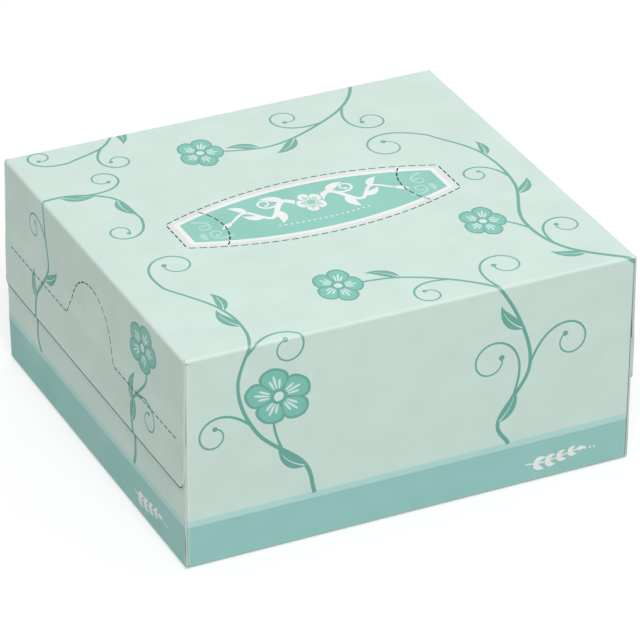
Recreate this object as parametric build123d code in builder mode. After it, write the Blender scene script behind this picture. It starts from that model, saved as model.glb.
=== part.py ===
"""Sealed tissue box: a low folding carton with a nearly square base, packed and glued shut.

The carton is one blank of boxboard. Four panels (top, front, bottom, back) fold round into a
tube that runs along X, and the back panel's glue flap lies under the bottom panel. Each end is
shut by dust flaps from the front and back panels, then the bottom flap, then the top flap, all
glued. A perforated window lies in the top panel and a perforated tear line with a thumb arch
crosses the top flap at the left end. Nothing is torn open, so the pack is one solid.

Units are millimetres. +Z is up, the front panel faces -Y, the window runs along X, and the
origin is the centre of the rectangle that the box rests on.
"""

import math
import os

from build123d import *

# Overall sizes of the closed box
box_length = 120.0
box_width = 110.0
box_height = 57.0

# Boxboard
board = 0.4
fold_radius = 0.8

# Glue seam along the lower back edge: the bottom panel stops short of the back panel's fold
seam_gap = 0.4

# End flaps
top_flap_length = 35.0
bottom_flap_length = 34.0
flap_side_gap = 0.15
flap_corner_radius = 2.0
flap_root = 4.0

# Perforation: cuts through the board, with ties left between them
cut_length = 1.8
cut_width = 0.34
tie_length = 0.7

# Window in the top panel: blunt ends, arched long sides, and an arc across near each end
window_length = 74.0
window_end_width = 12.8
window_mid_width = 27.8
window_arc_inset = 9.5
window_arc_rise = 3.3

# Tear line in the left end's top flap
tear_line_height = 34.2
tear_line_margin = 3.0
thumb_arch_width = 29.0
thumb_arch_height = 14.2
thumb_arch_radius = 12.0
thumb_arch_foot_radius = 1.2

# Planes that the end layers reach, counted outwards from the middle of the box
top_flap_face = box_length / 2
bottom_flap_face = top_flap_face - board
dust_flap_face = bottom_flap_face - board
flap_width = box_width - 2 * flap_side_gap


def window_half_width(x):
    """Half the window's width at x, on the circle through a long side's ends and middle."""
    half_chord = window_length / 2
    rise = (window_mid_width - window_end_width) / 2
    radius = (half_chord**2 + rise**2) / (2 * rise)
    return window_mid_width / 2 - radius + math.sqrt(radius**2 - x**2)


def cut_along(edge):
    """One row of cuts along an edge of the current sketch, with half a tie at each end."""
    count = max(1, round(edge.length / (cut_length + tie_length)))
    length = edge.length / count - tie_length
    for index in range(count):
        place = (index + 0.5) / count
        with Locations(edge.position_at(place)):
            Rectangle(length, cut_width, rotation=edge.tangent_angle_at(place))


# Tube section: four panels with rounded folds, and one board's step at the glue seam
with BuildSketch(Plane.YZ) as tube_section:
    Rectangle(box_width, box_height, align=(Align.CENTER, Align.MIN))
    with Locations((box_width / 2, 0)):
        Rectangle(
            fold_radius + seam_gap, board, align=(Align.MAX, Align.MIN), mode=Mode.SUBTRACT
        )
    corners = tube_section.vertices().group_by(Axis.X)
    fillet(corners[0] + corners[-1], radius=fold_radius)

# Outline of the top flap, whose free corners are rounded
with BuildSketch(Plane.YZ.offset(top_flap_face)) as top_flap_outline:
    with Locations((0, box_height)):
        Rectangle(flap_width, top_flap_length, align=(Align.CENTER, Align.MAX))
    fillet(top_flap_outline.vertices().group_by(Axis.Y)[0], radius=flap_corner_radius)

# Outline of the bottom flap, which goes up behind the top flap
with BuildSketch(Plane.YZ.offset(bottom_flap_face)) as bottom_flap_outline:
    Rectangle(flap_width, bottom_flap_length, align=(Align.CENTER, Align.MIN))

# Window perforation, seen from above
with BuildSketch(Plane.XY.offset(box_height)) as window_cuts:
    half_length = window_length / 2
    half_end = window_end_width / 2
    half_mid = window_mid_width / 2
    arc_foot = half_length - window_arc_inset
    arc_crown = arc_foot - window_arc_rise
    arc_half = window_half_width(arc_foot) - cut_width
    with BuildLine(mode=Mode.PRIVATE) as window_path:
        for side in (-1, 1):
            ThreePointArc(
                (-half_length, side * half_end), (0, side * half_mid), (half_length, side * half_end)
            )
            Line((side * half_length, -half_end), (side * half_length, half_end))
            ThreePointArc(
                (side * arc_foot, -arc_half), (side * arc_crown, 0), (side * arc_foot, arc_half)
            )
    for edge in window_path.edges():
        cut_along(edge)

# Tear line of the left end, seen from outside that end: the back of the box is on its left
left_end = Plane(origin=(-top_flap_face, 0, 0), x_dir=(0, -1, 0), z_dir=(-1, 0, 0))
with BuildSketch(left_end) as tear_line_cuts:
    arch_half = thumb_arch_width / 2
    crown_centre = thumb_arch_height - thumb_arch_radius
    leg_angle = math.atan2(crown_centre, arch_half) + math.asin(
        thumb_arch_radius / math.hypot(arch_half, crown_centre)
    )
    line_end = flap_width / 2 - tear_line_margin
    with BuildLine(mode=Mode.PRIVATE) as tear_path:
        FilletPolyline(
            (-line_end, tear_line_height),
            (-arch_half, tear_line_height),
            (0, tear_line_height + arch_half * math.tan(leg_angle)),
            (arch_half, tear_line_height),
            (line_end, tear_line_height),
            radius=[thumb_arch_foot_radius, thumb_arch_radius, thumb_arch_foot_radius],
        )
    for edge in tear_path.edges():
        if edge.length > cut_length:
            cut_along(edge)

with BuildPart() as sealed_carton:
    # Tube and dust flaps
    extrude(tube_section.sketch, amount=dust_flap_face, both=True)
    dust_flap_folds = sealed_carton.edges().filter_by(Axis.Z)
    fillet(dust_flap_folds, radius=fold_radius)

    # Bottom flap, folded up from the bottom panel
    extrude(bottom_flap_outline.sketch, amount=-flap_root)
    bottom_fold = sealed_carton.edges().filter_by(Axis.Y).group_by(Axis.Z)[0].sort_by(Axis.X)[-1]
    fillet(bottom_fold, radius=fold_radius)

    # Top flap, folded down from the top panel over the bottom flap
    extrude(top_flap_outline.sketch, amount=-flap_root)
    top_fold = sealed_carton.edges().filter_by(Axis.Y).group_by(Axis.Z)[-1].sort_by(Axis.X)[-1]
    fillet(top_fold, radius=fold_radius)

    # The far end closes the same way
    mirror(about=Plane.YZ)

    # Perforations, as deep as the board
    extrude(window_cuts.sketch, amount=-board, mode=Mode.SUBTRACT)
    extrude(tear_line_cuts.sketch, amount=-board, mode=Mode.SUBTRACT)

sealed_carton.part.label = "sealed_carton"

os.makedirs("parts", exist_ok=True)
export_step(sealed_carton.part, "parts/sealed_carton.step")
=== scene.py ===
import math

import bpy
import numpy as np
from mathutils.geometry import delaunay_2d_cdt
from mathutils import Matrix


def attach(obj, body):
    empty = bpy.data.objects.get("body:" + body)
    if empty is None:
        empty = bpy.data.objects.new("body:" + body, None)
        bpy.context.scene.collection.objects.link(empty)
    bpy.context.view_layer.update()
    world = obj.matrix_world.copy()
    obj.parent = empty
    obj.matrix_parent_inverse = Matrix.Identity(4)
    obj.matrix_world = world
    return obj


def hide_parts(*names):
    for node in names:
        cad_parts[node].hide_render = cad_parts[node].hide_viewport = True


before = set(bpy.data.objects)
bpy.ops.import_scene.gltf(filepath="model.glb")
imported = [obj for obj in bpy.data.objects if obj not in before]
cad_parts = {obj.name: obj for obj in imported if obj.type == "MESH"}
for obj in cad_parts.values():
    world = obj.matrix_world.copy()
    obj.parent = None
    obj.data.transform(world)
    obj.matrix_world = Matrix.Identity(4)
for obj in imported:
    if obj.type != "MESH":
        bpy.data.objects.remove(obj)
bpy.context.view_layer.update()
print("frame loaded:", len(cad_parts), "CAD node")

# Everything about the sheet is in millimetres. Flat places on it are (x, s): x runs along the box,
# and s runs round it from the middle of the top panel, + over the front and - over the back.
millimetre = 0.001

carton = {
    "length": 120.0,
    "width": 110.0,
    "height": 57.0,
    "board": 0.4,          # thickness of the boxboard
    "foldRadius": 0.8,     # outside of every crease
    "glue": 0.02,          # film of glue between two layers
    "seamGap": 0.4,        # from the bottom panel's edge to the back crease
    "slot": 0.15,          # cut between a flap and the corner beside it
    "topFlap": 35.0,
    "bottomFlap": 34.0,
    "dustFlap": 45.0,
    "glueFlap": 12.0,
    "glueFlapInset": 8.0,
    "flapCorner": 2.0,
    "flapSideGap": 0.15,   # from a flap's side edge to the outside of the panel beside it
    "climbLength": 6.0,    # over which the top flap climbs on to the bottom flap
    "climbClear": 0.5,     # from the end of the climb to the bottom flap's edge
    "flapSpring": 0.2,     # how far the top flap's free edge stands off, past its glue
    "springLength": 6.0,
    "topBow": 0.25,        # how far each panel swells in its middle
    "sideBow": 0.2,
    "endBow": 0.15,
    "baseBow": -0.12,      # the base arches up, so that the box stands on its edges
    "wearAndHighlightReach": 0.5,      # how far the rubbing and its painted highlight go from the middle of a crease
    "foldSteps": 8,        # facets round each crease
}

radius = carton["foldRadius"]
arc = radius * math.pi / 2
halfLength = carton["length"] / 2
halfWidth = carton["width"] / 2
height = carton["height"]
layer = carton["board"] + carton["glue"]
flatHalf = halfWidth - radius                      # from the top's middle to its crease
flapHalf = halfWidth - carton["flapSideGap"]
shoulder = flapHalf - flatHalf                     # by which a flap is wider than its panel's flat
frontFlat = height - 2 * radius
backFlat = height - 2 * radius - layer             # the glue flap lies on the bottom panel
bottomFlat = 2 * flatHalf - carton["seamGap"]

# Where each panel starts and ends along s
frontTop = flatHalf + arc
frontBase = frontTop + frontFlat
bottomFront = frontBase + arc
bottomBack = bottomFront + bottomFlat
backTop = -flatHalf - arc
backBase = backTop - backFlat
glueFlapTop = backBase - arc
glueFlapEnd = glueFlapTop - carton["glueFlap"]

# Where each flap's crease starts along x. The top and bottom flaps both lie on the dust flaps, and the
# top flap climbs over the bottom flap where they overlap.
topCrease = halfLength - radius - layer
bottomCrease = topCrease
dustCrease = topCrease - layer
cornerReach = halfLength - 2 * layer
shoulderStart = cornerReach + carton["slot"]
topReach = topCrease + arc + carton["topFlap"] - radius
bottomReach = bottomCrease + arc + carton["bottomFlap"] - radius
dustReach = dustCrease + arc + carton["dustFlap"] - radius
overlap = carton["topFlap"] + carton["bottomFlap"] - height
climbStart = topReach - overlap - carton["climbLength"] - carton["climbClear"]

# The four long creases, by where each starts along s, and the rows of facets round any crease
longCreases = (glueFlapTop, backTop, flatHalf, frontBase)
foldRows = np.linspace(0, arc, carton["foldSteps"] + 1)


# A path of straight runs and quarter bends, followed for a distance. A bend turns the heading by
# distance over radius, and the place goes round the bend's centre.
def followBends(distance, runs):
    along, across, heading = (np.zeros_like(distance) for _ in range(3))
    for index, run in enumerate(runs):
        if index:
            left = np.clip(distance, 0, arc)
            turn = left / radius
            along += radius * (np.sin(heading + turn) - np.sin(heading))
            across += radius * (np.cos(heading + turn) - np.cos(heading))
            heading += turn
            distance = distance - arc
        left = np.clip(distance, 0, run)
        along += left * np.cos(heading)
        across -= left * np.sin(heading)
        distance = distance - (run or 0)
    return along, across, heading


# Which flap or panel each place is on, as where that flap's crease starts and where its panel's flat
# part lies along s. The four long corners never fold along x.
def flapAt(x, s):
    slack = 0.01
    never = 1e6            # a crease this far off is never reached
    slot = carton["slot"] - slack
    beyond = np.abs(x) > shoulderStart - slack
    narrow = np.where(beyond, -shoulder - slack, slot)
    top = np.abs(s) <= flatHalf - narrow
    bottom = s >= bottomFront + narrow
    front = (s >= frontTop + slot) & (s <= frontBase - slot)
    back = (s <= backTop - slot) & (s >= backBase + slot)
    on = [top, bottom, front | back]
    crease = np.select(on, [topCrease, bottomCrease, dustCrease], never)
    low = np.select([top, bottom], [-flatHalf, bottomFront], -never)
    high = np.select([top, bottom], [flatHalf, bottomFront + 2 * flatHalf], never)
    return crease, low, high


# The folded sheet. The panel's place comes from bending along s, and the flap's from bending along x
# towards the panel's inside. Lift goes out along the sheet's own outward direction.
def foldSheet(x, s, lift=0.0):
    x = np.asarray(x, float)
    s = np.asarray(s, float)
    crease, low, high = flapAt(x, s)
    bent = np.clip(s, low, high)
    yFront, zFront, turnFront = followBends(np.clip(bent, 0, None), [flatHalf, frontFlat, None])
    yBack, zBack, turnBack = followBends(np.clip(-bent, 0, None), [flatHalf, backFlat, None])
    atFront = bent >= 0
    turn = np.where(atFront, turnFront, turnBack)
    outY = np.where(atFront, -1, 1) * np.sin(turn)
    outZ = np.cos(turn)
    y = np.where(atFront, -yFront, yBack) - outZ * (s - bent)
    z = height + np.where(atFront, zFront, zBack)

    beyond = np.abs(x) - crease
    bend = np.clip(beyond / radius, 0, math.pi / 2)
    along = np.where(beyond > 0, crease + radius * np.sin(bend), np.abs(x))
    drop = radius * (1 - np.cos(bend)) + np.clip(beyond - arc, 0, None)
    side = np.sign(x)
    place = np.stack([side * along, y - outY * drop, z - outZ * drop], -1)
    out = np.stack([side * np.sin(bend), outY * np.cos(bend), outZ * np.cos(bend)], -1)

    # Bow: each panel swells by one minus the square of how far out the place is, both ways
    acrossX = np.clip(1 - (place[..., 0] / halfLength) ** 2, 0, 1)
    acrossY = np.clip(1 - (place[..., 1] / halfWidth) ** 2, 0, 1)
    acrossZ = np.clip(1 - (2 * place[..., 2] / height - 1) ** 2, 0, 1)
    swell = (
        np.clip(out[..., 2], 0, 1) * carton["topBow"] * acrossX * acrossY
        + np.clip(-out[..., 2], 0, 1) * carton["baseBow"] * acrossX * acrossY
        + np.abs(out[..., 1]) * carton["sideBow"] * acrossX * acrossZ
        + np.abs(out[..., 0]) * carton["endBow"] * acrossY * acrossZ
    )
    # The top flap climbs by one layer along a smooth step, and its last few millimetres spring off by
    # the square of the way along them
    isTopFlap = (low == -flatHalf) & (beyond > arc)
    climb = np.clip((np.abs(x) - climbStart) / carton["climbLength"], 0, 1)
    spring = np.clip((np.abs(x) - topReach) / carton["springLength"] + 1, 0, 1)
    rise = layer * climb**2 * (3 - 2 * climb) + carton["flapSpring"] * spring**2
    swell = swell + np.where(isTopFlap, rise, 0)
    return place + out * (swell + lift)[..., None]


# Flat places from places on the box's faces
def onTop(x, y):
    return (x, -y)


def onFront(x, z):
    return (x, frontTop + height - radius - z)


def onBack(x, z):
    return (x, backTop - (height - radius - z))


def onTopFlap(y, z, side=-1):
    return (side * (topCrease + arc + height - radius - z), -y)


def onBottomFlap(y, z, side=-1):
    return (side * (bottomCrease + arc + z - radius), bottomFront + y + flatHalf)


# The round corner of a top flap, from its side edge to its free edge
def roundCorner(steps):
    corner = carton["flapCorner"]
    quarter = np.linspace(0, math.pi / 2, steps)
    return topReach - corner + corner * np.sin(quarter), flapHalf - corner + corner * np.cos(quarter)


# The blank's outline: how far it reaches each way along x at each s. The top flap's free corners are
# round, and the end flaps widen past their creases to lie nearly flush with the sides.
def blankOutline():
    slot = carton["slot"]
    roundX, roundS = roundCorner(7)
    inset = halfLength - carton["glueFlapInset"]
    bottomWide = bottomFront + 2 * flatHalf + shoulder
    half = [
        (inset, glueFlapEnd), (inset, glueFlapTop), (cornerReach, glueFlapTop), (cornerReach, backBase),
        (dustCrease, backBase), (dustCrease, backBase + slot), (dustReach, backBase + slot),
        (dustReach, backTop - slot), (dustCrease, backTop - slot), (dustCrease, backTop),
        (cornerReach, backTop), (cornerReach, -flatHalf), (topCrease, -flatHalf),
        (topCrease, slot - flatHalf), (shoulderStart, slot - flatHalf), (shoulderStart, -flapHalf),
        *zip(roundX, -roundS), *zip(roundX[::-1], roundS[::-1]),
        (shoulderStart, flapHalf), (shoulderStart, flatHalf - slot), (topCrease, flatHalf - slot),
        (topCrease, flatHalf), (cornerReach, flatHalf), (cornerReach, frontTop),
        (dustCrease, frontTop), (dustCrease, frontTop + slot), (dustReach, frontTop + slot),
        (dustReach, frontBase - slot), (dustCrease, frontBase - slot), (dustCrease, frontBase),
        (cornerReach, frontBase), (cornerReach, bottomFront), (bottomCrease, bottomFront),
        (bottomCrease, bottomFront + slot), (shoulderStart, bottomFront + slot),
        (shoulderStart, bottomFront - shoulder), (bottomReach, bottomFront - shoulder),
        (bottomReach, bottomWide), (shoulderStart, bottomWide), (shoulderStart, bottomBack),
    ]
    half = np.array(half)
    return np.vstack([half, half[::-1] * [-1, 1]])


# Perforation: straight cuts in a row, with ties between them
perforation = {
    "cut": 1.8,
    "tie": 0.7,
    "width": 0.34,
    "windowLength": 74.0,
    "windowEnd": 12.8,
    "windowMiddle": 27.8,
    "arcInset": 9.5,
    "arcRise": 3.3,
    "tearHeight": 34.2,
    "tearMargin": 3.0,
    "archWidth": 29.0,
    "archHeight": 14.2,
    "archRadius": 12.0,
    "arcClear": 0.5,       # by which the arcs stop short of the window's long sides
    "cornerClear": 0.4,    # by which the end cuts stop short of the window's corners
    "sidePoints": 90,      # points along each kind of path, before its cuts are spaced
    "arcPoints": 30,
    "archPoints": 40,
}


# Half the window's width at x: the height above its chord of a circle through three points,
# made narrower or wider by inset
def windowHalfWidth(x, inset=0.0):
    halfChord = perforation["windowLength"] / 2
    rise = (perforation["windowMiddle"] - perforation["windowEnd"]) / 2
    circle = (halfChord**2 + rise**2) / (2 * rise)
    return perforation["windowMiddle"] / 2 - circle + np.sqrt(circle**2 - x**2) - inset


# The window's outline: its two bowed sides, joined by straight ends
def windowOutline(inset, steps=60):
    half = perforation["windowLength"] / 2 - inset
    x = np.linspace(-half, half, steps)
    width = windowHalfWidth(x, inset)
    return np.vstack([np.column_stack([x, width]), np.column_stack([x[::-1], -width[::-1]])])


# The tear line over the left end: level runs, and a thumb arch whose legs touch its round top
def tearLine():
    halfArch = perforation["archWidth"] / 2
    top = perforation["archRadius"]
    centre = perforation["archHeight"] - top
    leg = math.atan2(centre, halfArch) + math.asin(top / math.hypot(halfArch, centre))
    touch = np.linspace(math.pi / 2 - leg, math.pi / 2 + leg, perforation["archPoints"])
    arch = np.column_stack([top * np.cos(touch), centre + top * np.sin(touch)])
    end = flatHalf - perforation["tearMargin"]
    path = np.vstack([[[end, 0], [halfArch, 0]], arch, [[-halfArch, 0], [-end, 0]]])
    return np.column_stack(onTopFlap(path[:, 0], perforation["tearHeight"] + path[:, 1]))


# Cuts along a path: centres evenly spaced by distance, each a small box turned to the path
def cutsAlong(path):
    steps = np.hypot(*np.diff(path, axis=0).T)
    distance = np.concatenate([[0], np.cumsum(steps)])
    count = max(1, round(distance[-1] / (perforation["cut"] + perforation["tie"])))
    pitch = distance[-1] / count
    middle = (np.arange(count) + 0.5) * pitch
    reach = (pitch - perforation["tie"]) / 2

    def placeAt(d):
        return np.column_stack([np.interp(d, distance, path[:, i]) for i in (0, 1)])

    start, end = placeAt(middle - reach), placeAt(middle + reach)
    run = end - start
    across = np.column_stack([-run[:, 1], run[:, 0]])
    across *= perforation["width"] / 2 / np.hypot(*across.T)[:, None]
    return np.stack([start - across, end - across, end + across, start + across], 1)


# Every cut: round the window, along an arc of a circle inside each of its ends, and along the tear line
def allCuts():
    half = perforation["windowLength"] / 2
    foot = half - perforation["arcInset"]
    inner = windowHalfWidth(foot) - perforation["arcClear"]
    rise = perforation["arcRise"]
    circle = (inner**2 + rise**2) / (2 * rise)
    x = np.linspace(-half, half, perforation["sidePoints"])
    y = np.linspace(-inner, inner, perforation["arcPoints"])
    bulge = foot - rise + circle - np.sqrt(circle**2 - y**2)
    endHalf = perforation["windowEnd"] / 2 - perforation["cornerClear"]
    runs = []
    for side in (-1, 1):
        runs.append(cutsAlong(np.column_stack([x, side * windowHalfWidth(x)])))
        runs.append(cutsAlong(np.array([[side * half, -endHalf], [side * half, endHalf]])))
        runs.append(cutsAlong(np.column_stack([side * bulge, y])))
    tear = tearLine()
    runs += [cutsAlong(tear[:2]), cutsAlong(tear[1:-1]), cutsAlong(tear[-2:])]
    return np.vstack(runs)


# How many times each outline winds round each place, from the edges that cross its level
def windings(outline, places):
    a = outline
    b = np.roll(outline, -1, axis=0)
    x, y = places[:, 0:1], places[:, 1:2]
    side = (b[:, 0] - a[:, 0]) * (y - a[:, 1]) - (x - a[:, 0]) * (b[:, 1] - a[:, 1])
    up = (a[:, 1] <= y) & (b[:, 1] > y) & (side > 0)
    down = (a[:, 1] > y) & (b[:, 1] <= y) & (side < 0)
    return up.sum(1) - down.sum(1)


# Whether each place is inside an outline, tested in batches so that the tables stay small
def inside(outline, places):
    batch = 4000000
    low, high = outline.min(0), outline.max(0)
    near = np.flatnonzero(((places >= low) & (places <= high)).all(1))
    found = np.zeros(len(places), bool)
    for part in np.array_split(near, len(near) * len(outline) // batch + 1):
        found[part] = windings(outline, places[part]) != 0
    return found


# Print: the drawn shapes are outlines on the flat sheet, each with its ink, later ones over earlier ones
printed = []

drawing = {
    "step": 0.45,          # spacing of the points along a drawn line
    "spanPoints": 40,      # points between two given points, before they are spaced
    "tip": 0.05,           # half width of a line where it ends in a point
    "paintedShadowLine": 0.3,       # width of the line of painted shadow along the top flaps' free edges
}


# The same path with its points evenly spaced by distance
def evenly(path, step):
    length = np.concatenate([[0], np.cumsum(np.hypot(*np.diff(path, axis=0).T))])
    count = max(4, int(length[-1] / step))
    at = np.linspace(0, length[-1], count + 1)
    return np.column_stack([np.interp(at, length, path[:, i]) for i in (0, 1)])


# A smooth line through points: Catmull-Rom, where each span leaves and arrives along the line
# between its neighbours
def smoothLine(points):
    p = np.array(points, float)
    p = np.vstack([2 * p[0] - p[1], p, 2 * p[-1] - p[-2]])
    t = np.linspace(0, 1, drawing["spanPoints"], endpoint=False)[None, :, None]
    a, b, c, d = (p[i:len(p) - 3 + i, None, :] for i in range(4))
    square, cube = 2 * a - 5 * b + 4 * c - d, 3 * b - a - 3 * c + d
    spans = 0.5 * (2 * b + (c - a) * t + square * t**2 + cube * t**3)
    return evenly(np.vstack([spans.reshape(-1, 2), p[-2]]), drawing["step"])


# A line that curls: the heading turns faster and faster, as the share of the length to a power
def curlLine(start, heading, length, turn, power=1.6, step=drawing["step"]):
    count = max(8, int(length / step))
    share = np.linspace(0, 1, count + 1)
    angle = heading + turn * share**power
    middle = (angle[1:] + angle[:-1]) / 2
    steps = np.column_stack([np.cos(middle), np.sin(middle)]) * length / count
    return np.vstack([[start], np.array(start) + np.cumsum(steps, axis=0)])


# The outline of a line with a half width at each point, set off square to it on both sides
def draw(path, halfWidths, ink):
    run = np.gradient(path, axis=0)
    square = np.column_stack([-run[:, 1], run[:, 0]]) / np.hypot(*run.T)[:, None]
    wide = square * np.broadcast_to(halfWidths, len(path))[:, None]
    printed.append((ink, np.vstack([path + wide, (path - wide)[::-1]])))


# The same with a half width that goes evenly from its foot to its tip
def drawTapered(path, foot, tip, ink):
    draw(path, np.linspace(foot, tip, len(path)), ink)


# A dot: points evenly spaced round a circle
def drawDot(centre, size, ink, steps=14):
    turn = np.linspace(0, 2 * math.pi, steps, endpoint=False)
    printed.append((ink, np.array(centre) + size * np.column_stack([np.cos(turn), np.sin(turn)])))


scrollShape = {
    "turn": 6.9,           # radians from its foot to its tip
    "power": 1.9,          # the higher, the later it curls
    "step": 0.3,
    "foot": 0.36,          # half width at its foot, and at its tip
    "tip": 0.2,
    "ball": 0.3,           # radius of the ball at its tip, and what each unit of length adds
    "ballGrowth": 0.012,
}


# A scroll: a thinning curl with a small ball at its inner end
def drawScroll(start, heading, size, side, ink, foot=scrollShape["foot"]):
    shape = scrollShape
    path = curlLine(start, heading, size, side * shape["turn"], shape["power"], shape["step"])
    drawTapered(path, foot, shape["tip"], ink)
    drawDot(path[-1], shape["ball"] + shape["ballGrowth"] * size, ink)


leafShape = {
    "turn": 0.9,
    "power": 1.3,
    "fat": 0.15,           # half width, as a share of its length
    "skew": 0.8,           # under 1, it is widest nearer its foot
    "fullness": 1.1,       # the lower, the fuller
    "veinLength": 0.8,     # as a share of its length
    "veinFoot": 0.16,      # half width at its foot, and at its tip
    "veinTip": 0.06,
}


# A leaf: its half width is a sine of a power of the share of its length
def drawLeaf(start, heading, size, side, ink, fat=leafShape["fat"], vein=None):
    shape = leafShape
    path = curlLine(start, heading, size, side * shape["turn"], shape["power"])
    bulge = np.sin(math.pi * np.linspace(0, 1, len(path)) ** shape["skew"]) ** shape["fullness"]
    draw(path, drawing["tip"] + fat * size * bulge, ink)
    if vein:
        part = path[1:int(len(path) * shape["veinLength"])]
        drawTapered(part, shape["veinFoot"], shape["veinTip"], vein)


blossomShape = {
    "petals": 5,
    "petalPoints": 20,
    "petalWidth": 0.37,    # half width of a petal, in blossom radii
    "squash": 0.8,         # the blossom is seen a little from one side
    "skew": 1.45,          # over 1, a petal is widest nearer its tip
    "fullness": 0.62,      # the lower, the fuller
    "tip": 0.02,           # half width of a petal's ends
    "rim": 0.09,           # dark rim round each petal, in radii
    "rimStart": 0.1,       # how far out rims, petals and veins start
    "petalStart": 0.16,
    "veinStart": 0.3,
    "veinEnd": 0.78,
    "veinWidth": 0.022,
    "veins": 3,
    "veinSpread": 0.26,    # radians from the middle vein to an outer one
    "veinShortening": 0.5, # of a vein, for each radian it is off the middle
    "eyeRim": 0.24,
    "eye": 0.15,
}


# A blossom: petals shaped as leaves are, turned round a centre and then narrowed one way
def drawBlossom(centre, facing, size, inks=("stem", "blossom", "pale")):
    shape = blossomShape
    rimInk, petalInk, veinInk = inks
    share = (1 - np.cos(np.linspace(0, math.pi, shape["petalPoints"]))) / 2
    turnIn = np.array([[math.cos(facing), math.sin(facing)], [-math.sin(facing), math.cos(facing)]])

    def petal(angle, inner, outer, half, ink):
        along = inner + (outer - inner) * share
        wide = shape["tip"] + half * np.sin(math.pi * share ** shape["skew"]) ** shape["fullness"]
        edge = np.vstack([np.column_stack([along, wide]), np.column_stack([along, -wide])[::-1]])
        spin = np.array([[math.cos(angle), math.sin(angle)], [-math.sin(angle), math.cos(angle)]])
        placed = (edge @ spin) * [shape["squash"], 1]
        printed.append((ink, np.array(centre) + size * placed @ turnIn))

    angles = np.arange(shape["petals"]) * 2 * math.pi / shape["petals"] + math.pi
    for angle in angles:
        rim = shape["rim"]
        petal(angle, shape["rimStart"], 1 + rim, shape["petalWidth"] + rim, rimInk)
        petal(angle, shape["petalStart"], 1, shape["petalWidth"], petalInk)
    for angle in angles:
        for off in np.linspace(-shape["veinSpread"], shape["veinSpread"], shape["veins"]):
            end = shape["veinEnd"] - abs(off) * shape["veinShortening"]
            petal(angle + off, shape["veinStart"], end, shape["veinWidth"], veinInk)
    drawDot(centre, shape["eyeRim"] * size, rimInk)
    drawDot(centre, shape["eye"] * size, veinInk)


shootShape = {
    "scrollLean": 0.35,    # radians by which each kind of shoot leans off its stem
    "leafLean": 0.7,
    "stalkLean": 0.5,
    "stalkLength": 1.8,    # of a blossom's stalk, in blossom radii
    "stalkTurn": 0.9,
    "stalkFoot": 0.36,     # half width at its foot, and at the blossom
    "stalkTip": 0.28,
    "blossomLean": 1.4,
}


# The heading of a path at a share of its length, and the place there
def pathAt(path, share):
    index = min(len(path) - 1, int(share * (len(path) - 1)))
    run = np.gradient(path, axis=0)[index]
    return math.atan2(run[1], run[0]), tuple(path[index])


# A vine: a main stem that thins, with its shoots
def drawVine(points, shoots, thick=0.55, thin=0.32, ink="stem"):
    shape = shootShape
    path = smoothLine(points)
    drawTapered(path, thick, thin, ink)
    for at, side, kind, size in shoots:
        heading, start = pathAt(path, at)
        if kind == "scroll":
            drawScroll(start, heading + side * shape["scrollLean"], size, side, ink)
        elif kind == "leaf":
            drawLeaf(start, heading + side * shape["leafLean"], size, -side, ink, vein="pale")
        elif kind == "blossom":
            stalk = curlLine(start, heading + side * shape["stalkLean"], size * shape["stalkLength"],
                             side * shape["stalkTurn"])
            drawTapered(stalk, shape["stalkFoot"], shape["stalkTip"], ink)
            drawBlossom(tuple(stalk[-1]), heading + side * shape["blossomLean"], size)
        elif kind == "end":
            drawBlossom(start, heading, size)


# A sprig on a band: places along it and up it from its start. The first two are the stem's ends and
# the rest are dots after its tip.
sprigShape = {
    "places": [(0, 5.4), (14, 6.2), (16.6, 6.0), (17.9, 5.9), (19.1, 5.8)],
    "sideStart": 31.0,     # from the middle of the front and back, and of the ends
    "endStart": 25.0,
    "stem": 0.2,           # half width
    "bend": 0.4,           # where the stem bows most, as a share of its length
    "rise": 0.8,           # how far it bows
    "pairs": (0.18, 0.86, 4),      # first and last pair of leaves along the stem, and how many
    "leaf": 3.4,           # length of a leaf at the start, less what it loses along the stem
    "leafStart": 1.15,
    "leafLoss": 0.45,
    "leafFat": 0.2,
    "leafLean": 0.85,
    "tipLeaf": 0.8,
    "tipCurl": 0.3,
    "dot": 0.32,
    "dotSteps": 10,
}


# A sprig: a thin bowed stem with pairs of small leaves and a leaf at its tip
def drawSprig(start, end, ink):
    shape = sprigShape
    start, end = np.array(start), np.array(end)
    up = np.array([start[1] - end[1], end[0] - start[0]]) / np.hypot(*(end - start))
    bend = start * (1 - shape["bend"]) + end * shape["bend"] + up * shape["rise"]
    path = smoothLine([start, bend, end])
    draw(path, shape["stem"], ink)
    for at in np.linspace(*shape["pairs"]):
        heading, place = pathAt(path, at)
        size = shape["leaf"] * (shape["leafStart"] - shape["leafLoss"] * at)
        for side in (-1, 1):
            drawLeaf(place, heading + side * shape["leafLean"], size, -side, ink, shape["leafFat"])
    heading, place = pathAt(path, 1)
    drawLeaf(place, heading, shape["leaf"] * shape["tipLeaf"], shape["tipCurl"], ink, shape["leafFat"])


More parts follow.
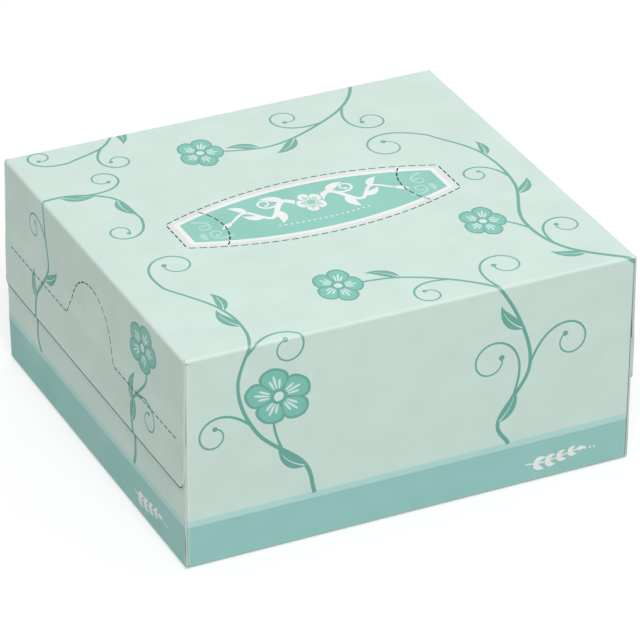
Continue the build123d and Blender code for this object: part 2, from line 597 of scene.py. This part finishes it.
# Each vine: the points its stem passes, and its shoots, each at a share of its length, on one side, of a
# kind and a size
vines = {
    "frontRight": {
        "points": [onFront(26, 12.8), onFront(23, 20), onFront(31, 33), onFront(28, 47), onTop(19, -51),
                   onTop(4, -41), onTop(-12, -38)],
        "shoots": [(0.09, 1, "leaf", 10), (0.17, -1, "scroll", 40), (0.28, 1, "scroll", 36),
                   (0.40, -1, "leaf", 10), (0.55, 1, "scroll", 36), (0.70, -1, "scroll", 27),
                   (0.83, 1, "leaf", 9), (1.0, 1, "end", 7.2)],
    },
    "frontLeft": {
        "points": [onFront(-26, 12.8), onFront(-29, 22), onFront(-41, 33), onFront(-46, 47),
                   onTop(-41, -49), onTop(-42, -36), onTop(-50, -22)],
        "shoots": [(0.10, -1, "leaf", 10), (0.2, 1, "blossom", 8.6), (0.34, -1, "scroll", 30),
                   (0.56, 1, "scroll", 34), (0.70, -1, "leaf", 10), (0.80, 1, "leaf", 9),
                   (1.0, 1, "scroll", 36)],
    },
    "rightEdge": {
        "points": [onTop(60.5, -57.5), onTop(46, -44), onTop(43, -28), onTop(50, -10), onTop(50, 8),
                   onTop(42, 22)],
        "shoots": [(0.16, -1, "leaf", 9), (0.26, 1, "scroll", 30), (0.36, -1, "blossom", 6.8),
                   (0.56, 1, "leaf", 9), (0.66, -1, "scroll", 26), (0.8, 1, "leaf", 8),
                   (1.0, -1, "scroll", 38)],
    },
    "backRight": {
        "points": [onBack(30, 12.8), onBack(34, 24), onBack(41, 38), onBack(39, 50), onTop(33, 49),
                   onTop(22, 40), onTop(4, 33), onTop(-14, 37)],
        "shoots": [(0.08, 1, "leaf", 10), (0.15, -1, "scroll", 38), (0.3, 1, "scroll", 30),
                   (0.36, -1, "leaf", 9), (0.56, -1, "scroll", 32), (0.66, 1, "scroll", 30),
                   (0.76, -1, "leaf", 10), (0.86, 1, "leaf", 9), (1.0, 1, "end", 7.0)],
    },
    "backLeft": {
        "points": [onBack(-20, 12.8), onBack(-17, 24), onBack(-30, 38), onBack(-28, 50), onTop(-34, 51),
                   onTop(-46, 46)],
        "shoots": [(0.1, -1, "leaf", 10), (0.2, 1, "blossom", 8.4), (0.34, -1, "scroll", 34),
                   (0.5, 1, "scroll", 30), (0.68, -1, "leaf", 9), (0.84, -1, "scroll", 26),
                   (1.0, 1, "scroll", 24)],
    },
    "leftEnd": {
        "points": [onTopFlap(35, 21.9), onTopFlap(34, 29), onTopFlap(27, 39), onTopFlap(29, 50),
                   onTop(-53, 30), onTop(-43, 24), onTop(-41, 12)],
        "shoots": [(0.08, -1, "leaf", 9), (0.24, 1, "leaf", 9), (0.4, -1, "scroll", 24),
                   (0.62, 1, "leaf", 9), (0.72, -1, "scroll", 28), (0.84, 1, "leaf", 9),
                   (1.0, 1, "scroll", 26)],
    },
    "rightEnd": {
        "points": [onTopFlap(-35, 21.9, 1), onTopFlap(-34, 29, 1), onTopFlap(-27, 39, 1),
                   onTopFlap(-29, 48, 1)],
        "shoots": [(0.1, -1, "leaf", 9), (0.3, 1, "leaf", 9), (0.5, -1, "scroll", 24),
                   (1.0, 1, "scroll", 26)],
    },
}

# What both ends share: a foot for each vine on the bottom flap, and the front vine on the top flap
endVines = {
    "foot": [(-25, 12.8), (-26, 16), (-26, 22.5)],
    "points": [(-26, 21.9), (-25, 30), (-33, 40), (-31, 48)],
    "shoots": [(0.12, 1, "leaf", 9), (0.3, -1, "leaf", 9), (0.42, 1, "scroll", 26),
               (1.0, 1, "end", 7.6)],
    "backFoot": [(33, 12.8), (35, 16), (35, 22.5)],
    "footThick": 0.6,      # half width at the band, and at the top flap's edge
    "footThin": 0.55,
}


# The window's white flourish, mirrored about its middle, with a row of dots below it
windowFlourish = {
    "line": [(2, -1.6), (6.5, -5.2), (12, 1.4), (17, -3.6), (22, -0.6)],
    "thick": 0.85,
    "thin": 0.34,
    # Leaves, each at a share of the line, on one side or ahead, and of a length
    "leaves": [(0.2, -1, 6.4), (0.4, 1, 6.6), (0.6, 1, 5.6), (0.78, -1, 5.4), (1.0, 0, 4.2)],
    "leafLean": 0.75,
    "leafFat": 0.18,
    # Scrolls: foot, lean outwards, length, ink, half width. The pale ones are in the ends of the window
    "scrolls": [((6.5, -5.2), -0.9, 14, "white", 0.42), ((24.0, 5.0), -1.3, 13, "windowPale", 0.36),
                ((31.0, -4.6), 1.3, 12, "windowPale", 0.36)],
    "paleLeaf": ((30.6, 1.2), -0.4, 4, 0.2),       # foot, lean outwards, length, fatness
    "blossomPlace": (0, -2.0),
    "blossom": 4.7,
    "dots": 17,
    "dotReach": 12,
    "dotLine": 6.6,        # how far in front of the middle the row is, and how it bows
    "dotBow": 0.006,
    "dot": 0.3,
    "dotSteps": 8,
}


def drawWindowFlourish():
    facts = windowFlourish
    ahead = math.pi / 2
    for side in (-1, 1):
        line = smoothLine([(side * x, s) for x, s in facts["line"]])
        drawTapered(line, facts["thick"], facts["thin"], "white")
        for at, turn, size in facts["leaves"]:
            heading, place = pathAt(line, at)
            lean = side * turn * facts["leafLean"]
            drawLeaf(place, heading + lean, size, -side * turn, "white", facts["leafFat"])
        for (x, s), lean, length, ink, foot in facts["scrolls"]:
            drawScroll((side * x, s), ahead + side * lean, length, -side, ink, foot)
        (x, s), lean, length, fat = facts["paleLeaf"]
        drawLeaf((side * x, s), ahead + side * lean, length, side, "windowPale", fat)
    drawBlossom(facts["blossomPlace"], 0, facts["blossom"], ("window", "white", "window"))
    for x in np.linspace(-facts["dotReach"], facts["dotReach"], facts["dots"]):
        drawDot((x, facts["dotLine"] - facts["dotBow"] * x**2), facts["dot"], "white", facts["dotSteps"])


# Small white sprigs on the four bands, with dots after each
def drawBandSprigs():
    shape = sprigShape
    side, end = shape["sideStart"], shape["endStart"]
    rows = [
        [onFront(side + a, z) for a, z in shape["places"]],
        [onBack(-side - a, z) for a, z in shape["places"]],
        [onBottomFlap(-end - a, z, -1) for a, z in shape["places"]],
        [onBottomFlap(end + a, z, 1) for a, z in shape["places"]],
    ]
    for foot, tip, *dots in rows:
        drawSprig(foot, tip, "white")
        for dot in dots:
            drawDot(dot, shape["dot"], "white", shape["dotSteps"])


def drawPrint():
    for vine in vines.values():
        drawVine(vine["points"], vine["shoots"])
    for side in (-1, 1):
        for foot in ("foot", "backFoot"):
            base = smoothLine([onBottomFlap(-side * y, z, side) for y, z in endVines[foot]])
            drawTapered(base, endVines["footThick"], endVines["footThin"], "stem")
        drawVine([onTopFlap(-side * y, z, side) for y, z in endVines["points"]], endVines["shoots"])
    drawWindowFlourish()
    drawBandSprigs()
    # A hairline of painted shadow, in the dark grey of the perforations, along the free edge of each top
    # flap
    edgeX, edgeS = roundCorner(12)
    edge = np.vstack([np.column_stack([edgeX, -edgeS]), np.column_stack([edgeX, edgeS])[::-1]])
    for side in (-1, 1):
        draw(edge * [side, 1], drawing["paintedShadowLine"], "cut")


drawPrint()
print("print drawn:", len(printed), "shapes")


# Fields of ink, from the bottom up: each is a flat test on the places of the sheet
field = {
    "bandHeight": 11.4,
    "stripeHeight": 1.7,
    "bandWrap": 1.5,       # how far the band goes on under the base
    "borderInset": 0.5,    # the window's border: a greyish strip, then a white line round the teal
    "lineInset": 1.7,
    "windowInset": 2.9,
}

bandTop = field["bandHeight"]
stripeTop = bandTop + field["stripeHeight"]
windowFields = [("borderInset", "border"), ("lineInset", "white"), ("windowInset", "window")]

# Where the fields change: rows along s, and columns along x on the bottom flaps
fieldRows = [face(0, z)[1] for z in (bandTop, stripeTop) for face in (onFront, onBack)]
fieldRows += [bottomFront + field["bandWrap"], glueFlapTop - field["bandWrap"]]
flapColumns = [onBottomFlap(0, z, 1)[0] for z in (bandTop, stripeTop)]
wrapColumn = bottomCrease - field["bandWrap"]


def fieldInks(places):
    x, s = np.abs(places[:, 0]), places[:, 1]
    inks = np.full(len(places), "mint", dtype="U12")
    for ink, low, high, wrap in (("band", radius, bandTop, field["bandWrap"] + arc),
                                 ("stripe", bandTop, stripeTop, 0)):
        # Beside the bottom flap the front's band ends at the crease, so that the flap's own band goes on
        front = (s >= onFront(0, high)[1]) & (s <= onFront(0, low)[1] + wrap)
        front &= (x <= bottomCrease) | (s < frontBase)
        back = (s <= onBack(0, high)[1]) & (s >= onBack(0, low)[1] - wrap)
        end = (x >= onBottomFlap(0, low, 1)[0] - wrap) & (x <= onBottomFlap(0, high, 1)[0])
        end &= s >= bottomFront - 2 * shoulder
        inks[front | back | end] = ink
    for edge, ink in windowFields:
        inks[inside(windowOutline(field[edge]), places)] = ink
    return inks


# Rows and columns of the mesh
grid = {
    "step": 5.0,
    "clear": 1.0,          # an even row nearer than this to a needed one is left out
    "beside": (2.5, 1.2, 0.4),     # how far off a crease its supporting rows lie
    "lineReach": 120.0,    # past the ends of the blank
    "flapPast": 2.0,       # past the bottom flap's edge
    "climbRows": 4,
}


# Straight lines that the mesh has to follow: both ends of every crease, its steps, and the bands
def sheetLines():
    alongS = [start + step for start in longCreases for step in foldRows] + fieldRows
    alongX = [(x, bottomFront - shoulder, bottomBack + grid["flapPast"]) for x in flapColumns]
    alongX.append((wrapColumn, bottomFront, bottomBack))
    for crease, low, high in ((topCrease, -flapHalf, flapHalf), (bottomCrease, bottomFront, bottomBack),
                              (dustCrease, frontTop, frontBase), (dustCrease, backBase, backTop)):
        alongX += [(crease + step, low, high) for step in foldRows]
    lines = [((-grid["lineReach"], s), (grid["lineReach"], s)) for s in alongS]
    for x, low, high in alongX:
        lines += [((x, low), (x, high)), ((-x, low), (-x, high))]
    return np.array(lines)


def gridPlaces():
    beside = np.array(grid["beside"])
    fold = np.concatenate([-beside, foldRows, arc + beside])

    # Even places from low to high, and all the needed ones round the creases and in the extra rows
    def marks(starts, extra, low, high):
        even = np.linspace(low, high, int((high - low) / grid["step"]) + 1)
        needed = np.concatenate([start + fold for start in starts] + [extra])
        far = np.abs(even[:, None] - needed[None, :]).min(1) > grid["clear"]
        return np.unique(np.round(np.concatenate([even[far], needed]), 6))

    columns = flapColumns + [wrapColumn]
    columns += [topReach - carton["springLength"], topReach - carton["flapCorner"]]
    columns += list(np.linspace(climbStart, climbStart + carton["climbLength"], grid["climbRows"]))
    x = marks([topCrease, bottomCrease, dustCrease], columns, 0.0, dustReach)
    s = marks(longCreases, fieldRows, glueFlapEnd, bottomBack)
    x = np.unique(np.concatenate([-x, x]))
    return np.stack(np.meshgrid(x, s, indexing="ij"), -1).reshape(-1, 2)


# How near each place is to a crease, as a bell of its distance: there the print is paler, partly rubbed
# and partly a painted highlight on the fold
def creaseWearAndHighlight(x, s):
    away = np.abs(np.abs(x) - flapAt(x, s)[0] - arc / 2)
    for start in longCreases:
        away = np.minimum(away, np.abs(s - start - arc / 2))
    return np.exp(-(away / carton["wearAndHighlightReach"]) ** 2)


# The flat sheet as triangles, with every outline, cut, shape of ink, crease and band among their edges
def triangulateSheet(cuts):
    merge = 1e-4           # places nearer than this become one
    leastArea = 1e-9
    outline = blankOutline()
    loops = [outline] + [windowOutline(field[edge]) for edge, ink in windowFields]
    loops += list(cuts) + [shape for ink, shape in printed]
    lines = sheetLines()
    sizes = np.array([len(loop) for loop in loops])
    starts = np.concatenate([[0], np.cumsum(sizes)[:-1]])
    first = np.arange(sizes.sum())
    second = first + 1
    second[starts + sizes - 1] = starts
    lineFirst = sizes.sum() + 2 * np.arange(len(lines))
    edges = np.vstack([np.column_stack([first, second]), np.column_stack([lineFirst, lineFirst + 1])])
    places = np.vstack(loops + [lines.reshape(-1, 2), gridPlaces()])
    print("flat sheet:", len(places), "places,", len(edges), "edges")
    found = delaunay_2d_cdt(places.tolist(), edges.tolist(), [], 0, merge, False)
    flat = np.array([tuple(v) for v in found[0]])
    triangles = np.array(found[2])

    corners = flat[triangles]
    area = np.cross(corners[:, 1] - corners[:, 0], corners[:, 2] - corners[:, 0])
    middle = corners.mean(1)
    keep = inside(outline, middle) & (np.abs(area) > leastArea)
    for cut in cuts:
        keep &= ~inside(cut, middle)
    triangles, area, middle = triangles[keep], area[keep], middle[keep]
    triangles[area < 0] = triangles[area < 0][:, ::-1]
    used, triangles = np.unique(triangles, return_inverse=True)
    return flat[used], triangles.reshape(-1, 3), middle


# The material of each triangle, from the ink it lies in. The pale scrolls stay on the window's teal.
def inkTriangles(middle, order):
    inks = fieldInks(middle)
    inWindow = inks == "window"
    for ink, shape in printed:
        inks[inside(shape, middle) & (inWindow | (ink != "windowPale"))] = ink
    names, which = np.unique(inks, return_inverse=True)
    return np.array([order.index(name) for name in names])[which]


# The outward direction of the folded sheet at each place: the cross product of its two slopes, each
# taken from one step before the place to one step after
def foldedNormals(x, s):
    step = 0.02
    slopeX = foldSheet(x + step, s) - foldSheet(x - step, s)
    slopeS = foldSheet(x, s + step) - foldSheet(x, s - step)
    outward = np.cross(slopeS, slopeX)
    return outward / np.linalg.norm(outward, axis=1)[:, None]


# An object at the origin, in the scene
def addObject(name, data):
    added = bpy.data.objects.new(name, data)
    bpy.context.scene.collection.objects.link(added)
    return added


# The carton as one closed sheet of board, folded twice: its outside, and its inside one board further
# in. Walls close its rim and the cuts.
def buildCarton(materials):
    order = list(materials)
    cuts = allCuts()
    flat, triangles, middle = triangulateSheet(cuts)
    x, s = flat.T
    count = len(flat)

    # Seen from outside, s runs against y, so the winding is turned once here
    outerFaces = triangles[:, ::-1]
    innerFaces = triangles + count
    run = np.vstack([outerFaces[:, [0, 1]], outerFaces[:, [1, 2]], outerFaces[:, [2, 0]]])
    rim = run[~np.isin(run[:, 0] * count + run[:, 1], run[:, 1] * count + run[:, 0])]
    walls = np.column_stack([rim[:, ::-1], rim + count])
    vertices = np.vstack([foldSheet(x, s), foldSheet(x, s, -carton["board"])]) * millimetre

    mesh = bpy.data.meshes.new("carton_sheet")
    mesh.from_pydata(vertices.tolist(), [], outerFaces.tolist() + innerFaces.tolist() + walls.tolist())
    for ink in order:
        mesh.materials.append(materials[ink])

    # A wall belongs to a cut where its middle lies in that cut, made a little larger
    growth = 0.2
    shortest = 1e-12       # a wall with no width has no direction, and keeps none
    wallMiddle = flat[rim].mean(1)
    inCut = np.zeros(len(walls), bool)
    for cut in cuts:
        inCut |= inside(cut + (cut - cut.mean(0)) * growth, wallMiddle)
    # Walls in a cut are dark grey: painted shade standing in for the dark of the slit
    raw, slitShade = order.index("raw"), order.index("cut")
    index = np.concatenate([inkTriangles(middle, order), np.full(len(innerFaces), raw),
                            np.where(inCut, slitShade, raw)])
    mesh.polygons.foreach_set("material_index", index.astype(np.int32))
    # Paleness near the creases, for rubbed ink and a painted highlight on the folds
    wearAndHighlight = mesh.attributes.new("creaseWearAndHighlight", "FLOAT", "POINT")
    wearAndHighlight.data.foreach_set("value", np.tile(creaseWearAndHighlight(x, s), 2).astype(np.float32))

    # Shading follows the true folds, and each wall is flat
    outward = foldedNormals(x, s)
    first, second, third = (vertices[walls[:, corner]] for corner in (0, 1, 2))
    wallOut = np.cross(second - first, third - second)
    wallOut /= np.maximum(np.linalg.norm(wallOut, axis=1), shortest)[:, None]
    normals = np.vstack([outward[outerFaces.ravel()], -outward[triangles.ravel()],
                         np.repeat(wallOut, walls.shape[1], axis=0)])
    mesh.polygons.foreach_set("use_smooth", np.ones(len(mesh.polygons), bool))
    mesh.normals_split_custom_set(normals.tolist())
    mesh.update()
    print("carton folded:", len(mesh.polygons), "faces")
    return addObject("printed_carton", mesh)


# An sRGB hex value as linear colour
def colour(hexCode):
    channels = [int(hexCode[i:i + 2], 16) / 255 for i in (1, 3, 5)]
    linear = [c / 12.92 if c <= 0.04045 else ((c + 0.055) / 1.055) ** 2.4 for c in channels]
    return (*linear, 1.0)


# A node with its settings and links, whose sockets are given by name or by number
def addNode(tree, kind, settings=None, links=None):
    node = tree.nodes.new(kind)
    for name, value in (settings or {}).items():
        if isinstance(name, int) or (name in node.inputs and not hasattr(type(node), name)):
            node.inputs[name].default_value = value
        else:
            setattr(node, name, value)
    for name, socket in (links or {}).items():
        tree.links.new(socket, node.inputs[name])
    return node


# The node tree of a material or a world, emptied
def emptyTree(owner):
    owner.use_nodes = True
    owner.node_tree.nodes.clear()
    return owner.node_tree


# Offset print on clay-coated boxboard under a satin varnish: an even, slightly soft sheen, a faint
# tooth from the fibres, and paler lines along the creases, partly rubbed and partly a painted highlight.
boardFinish = {
    "roughness": (0.40, 0.52),
    "ior": 1.48,
    "specular": 0.22,
    "mottle": 0.025,          # share by which the ink's depth wanders
    # Each noise's size in mm and its detail: mottle, fibres coarse enough to show, and slow waves
    "noises": ((9.0, 3.0), (0.35, 2.0), (14.0, 1.0)),
    "noiseSpan": (0.3, 0.7),  # where nearly all of a noise's values lie
    "fibreDepth": 0.006,      # mm
    "wavinessDepth": 0.02,    # mm
    "rubAndHighlight": 0.45,              # how pale a crease gets at most, from rubbing and painted highlight
    "rubAndHighlightSpan": (0.35, 0.75),
    "rubAndHighlightLeast": 0.35,         # in the hollows between fibres, as a share of the most
    "rubbedAndHighlitColour": "#EEF6F2",
    "rawRoughness": 0.85,
}


def printedBoard(name, ink, rubAndHighlight=1.0):
    finish = boardFinish
    material = bpy.data.materials.new(name)
    tree = emptyTree(material)
    place = addNode(tree, "ShaderNodeTexCoord").outputs["Object"]
    noises = []
    for size, detail in finish["noises"]:
        settings = {"Scale": 1 / (size * millimetre), "Detail": detail}
        noises.append(addNode(tree, "ShaderNodeTexNoise", settings, {"Vector": place}).outputs["Fac"])
    mottle, fibre, waves = noises

    # What the three noises set: the ink's depth, how much paler the creases get from rubbing and painted
    # highlight, and the roughness
    most = rubAndHighlight * finish["rubAndHighlight"]
    ranges = [(mottle, finish["noiseSpan"], (1 - finish["mottle"], 1 + finish["mottle"])),
              (fibre, finish["rubAndHighlightSpan"], (finish["rubAndHighlightLeast"] * most, most)),
              (waves, finish["noiseSpan"], finish["roughness"])]
    levels = []
    for noise, (fromMin, fromMax), (toMin, toMax) in ranges:
        settings = {"From Min": fromMin, "From Max": fromMax, "To Min": toMin, "To Max": toMax}
        levels.append(addNode(tree, "ShaderNodeMapRange", settings, {"Value": noise}).outputs["Result"])
    depth, patchy, roughness = levels

    # In a colour mix, socket 0 is the share and sockets 6 and 7 are the two colours
    shade = addNode(tree, "ShaderNodeHueSaturation", {"Color": colour(ink)}, {"Value": depth})
    # Paler towards the creases: rubbed ink and a painted highlight
    wearAndHighlight = addNode(tree, "ShaderNodeAttribute", {"attribute_name": "creaseWearAndHighlight"})
    wornAndHighlit = addNode(tree, "ShaderNodeMath", {"operation": "MULTIPLY"},
                   {0: wearAndHighlight.outputs["Fac"], 1: patchy})
    face = addNode(tree, "ShaderNodeMix", {"data_type": "RGBA", 7: colour(finish["rubbedAndHighlitColour"])},
                   {0: wornAndHighlit.outputs[0], 6: shade.outputs["Color"]})
    relief = {}
    for height, deep in ((fibre, finish["fibreDepth"]), (waves, finish["wavinessDepth"])):
        settings = {"Strength": 1.0, "Distance": deep * millimetre}
        bump = addNode(tree, "ShaderNodeBump", settings, {"Height": height, **relief})
        relief = {"Normal": bump.outputs["Normal"]}
    surface = addNode(tree, "ShaderNodeBsdfPrincipled",
                      {"IOR": finish["ior"], "Specular IOR Level": finish["specular"]},
                      {"Base Color": face.outputs[2], "Roughness": roughness, **relief})
    addNode(tree, "ShaderNodeOutputMaterial", None, {"Surface": surface.outputs["BSDF"]})
    return material


# Uncoated inside and cut edges: grey-white fibres with no varnish, so dull and a little rough
def rawBoard(name, ink):
    material = printedBoard(name, ink, 0.0)
    surface = material.node_tree.nodes["Principled BSDF"]
    for link in list(surface.inputs["Roughness"].links):
        material.node_tree.links.remove(link)
    surface.inputs["Roughness"].default_value = boardFinish["rawRoughness"]
    return material


inkColours = {
    "mint": ("mint_ink_on_coated_board", "#D2E8DF"),
    "band": ("teal_ink_on_coated_board", "#9ACEC7"),
    "stripe": ("light_teal_stripe_ink_on_coated_board", "#B8E1DC"),
    "white": ("unprinted_white_coated_board", "#F4F6F4"),
    "border": ("pale_grey_ink_on_coated_board", "#E3EAE8"),
    "window": ("window_teal_ink_on_coated_board", "#8FCFC0"),
    "stem": ("stem_teal_ink_on_coated_board", "#6FAFA2"),
    "blossom": ("blossom_teal_ink_on_coated_board", "#80C6B7"),
    "pale": ("pale_line_ink_on_coated_board", "#D6EEE6"),
    "windowPale": ("pale_window_ink_on_coated_board", "#B4E0D5"),
}

materials = {ink: printedBoard(*facts) for ink, facts in inkColours.items()}
materials["raw"] = rawBoard("raw_grey_white_boxboard", "#CDDAD3")
# Dark grey for the perforation walls and for the hairline along each top flap's edge: painted shade in
# the slits and painted shadow under the flap's edge
materials["cut"] = rawBoard("painted_shade_in_slits_and_flap_edges", "#5C6865")
print("materials made")

sheet = buildCarton(materials)
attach(sheet, "root")
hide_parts("sealed_carton")

# Studio: a pale floor, a soft lamp high in front, a weaker one behind, and even light from all round
studio = {
    "floorSize": 12.0,
    "floorDrop": 0.0002,      # below the box, so that the two never share a plane
    "floorColour": "#BFBFBE",
    "floorGlow": 0.54,        # seen by the camera only, so that the floor reads white
    "skyStrength": 0.50,
    "lampDistance": 2.2,
    "lamps": {                # direction from the box, width in metres, power in watts
        "soft_lamp": ((-0.10, -0.334, 0.425), 1.3, 26.3),
        "back_fill": ((0.5, 0.65, 0.35), 1.6, 7.0),
    },
}


# One where the camera or a sheen sees the surface, and zero where it only lights others
def seenDirectly(tree):
    ray = addNode(tree, "ShaderNodeLightPath")
    links = {0: ray.outputs["Is Camera Ray"], 1: ray.outputs["Is Glossy Ray"]}
    return addNode(tree, "ShaderNodeMath", {"operation": "MAXIMUM"}, links).outputs[0]


def buildStudio():
    half = studio["floorSize"] / 2
    mesh = bpy.data.meshes.new("studio_floor")
    square = ((-1, -1), (1, -1), (1, 1), (-1, 1))
    corners = [(x * half, y * half, -studio["floorDrop"]) for x, y in square]
    mesh.from_pydata(corners, [], [(0, 1, 2, 3)])
    material = bpy.data.materials.new("matt_white_paper_sweep")
    tree = emptyTree(material)
    paper = addNode(tree, "ShaderNodeBsdfDiffuse", {"Color": colour(studio["floorColour"])})
    strength = addNode(tree, "ShaderNodeMath", {"operation": "MULTIPLY", 1: studio["floorGlow"]},
                       {0: seenDirectly(tree)})
    glow = addNode(tree, "ShaderNodeEmission", None, {"Strength": strength.outputs[0]})
    both = addNode(tree, "ShaderNodeAddShader", None, {0: paper.outputs[0], 1: glow.outputs[0]})
    addNode(tree, "ShaderNodeOutputMaterial", None, {"Surface": both.outputs[0]})
    mesh.materials.append(material)
    floor = addObject("studio_floor", mesh)

    world = bpy.data.worlds.new("studio_light")
    bpy.context.scene.world = world
    tree = emptyTree(world)
    level = addNode(tree, "ShaderNodeMapRange", {"To Min": studio["skyStrength"], "To Max": 1.0},
                    {"Value": seenDirectly(tree)})
    sky = addNode(tree, "ShaderNodeBackground", {"Color": colour("#FFFFFF")},
                  {"Strength": level.outputs["Result"]})
    addNode(tree, "ShaderNodeOutputWorld", None, {"Surface": sky.outputs[0]})

    for name, (towards, size, power) in studio["lamps"].items():
        towards = np.array(towards) / np.linalg.norm(towards)
        light = bpy.data.lights.new(name, "AREA")
        light.shape = "DISK"
        light.size = size
        light.energy = power
        lamp = addObject(name, light)
        lamp.location = towards * studio["lampDistance"]
        lamp.rotation_euler = (0, math.acos(towards[2]), math.atan2(towards[1], towards[0]))


# A long lens, well back, to the front left of the box and above it
view = {
    "place": (-0.40433, -0.83593, 0.56104),
    "tilt": 59.997,
    "roll": -0.440,
    "turn": -25.657,
    "lens": 242.67,
    "sensor": 36.0,
    "clipStart": 0.01,
}


def buildCamera():
    data = bpy.data.cameras.new("camera")
    data.lens = view["lens"]
    data.sensor_width = view["sensor"]
    data.clip_start = view["clipStart"]
    camera = addObject("camera", data)
    camera.location = view["place"]
    camera.rotation_euler = [math.radians(view[k]) for k in ("tilt", "roll", "turn")]
    bpy.context.scene.camera = camera


buildStudio()
buildCamera()
bpy.context.scene.view_settings.view_transform = "Standard"
print("studio set")
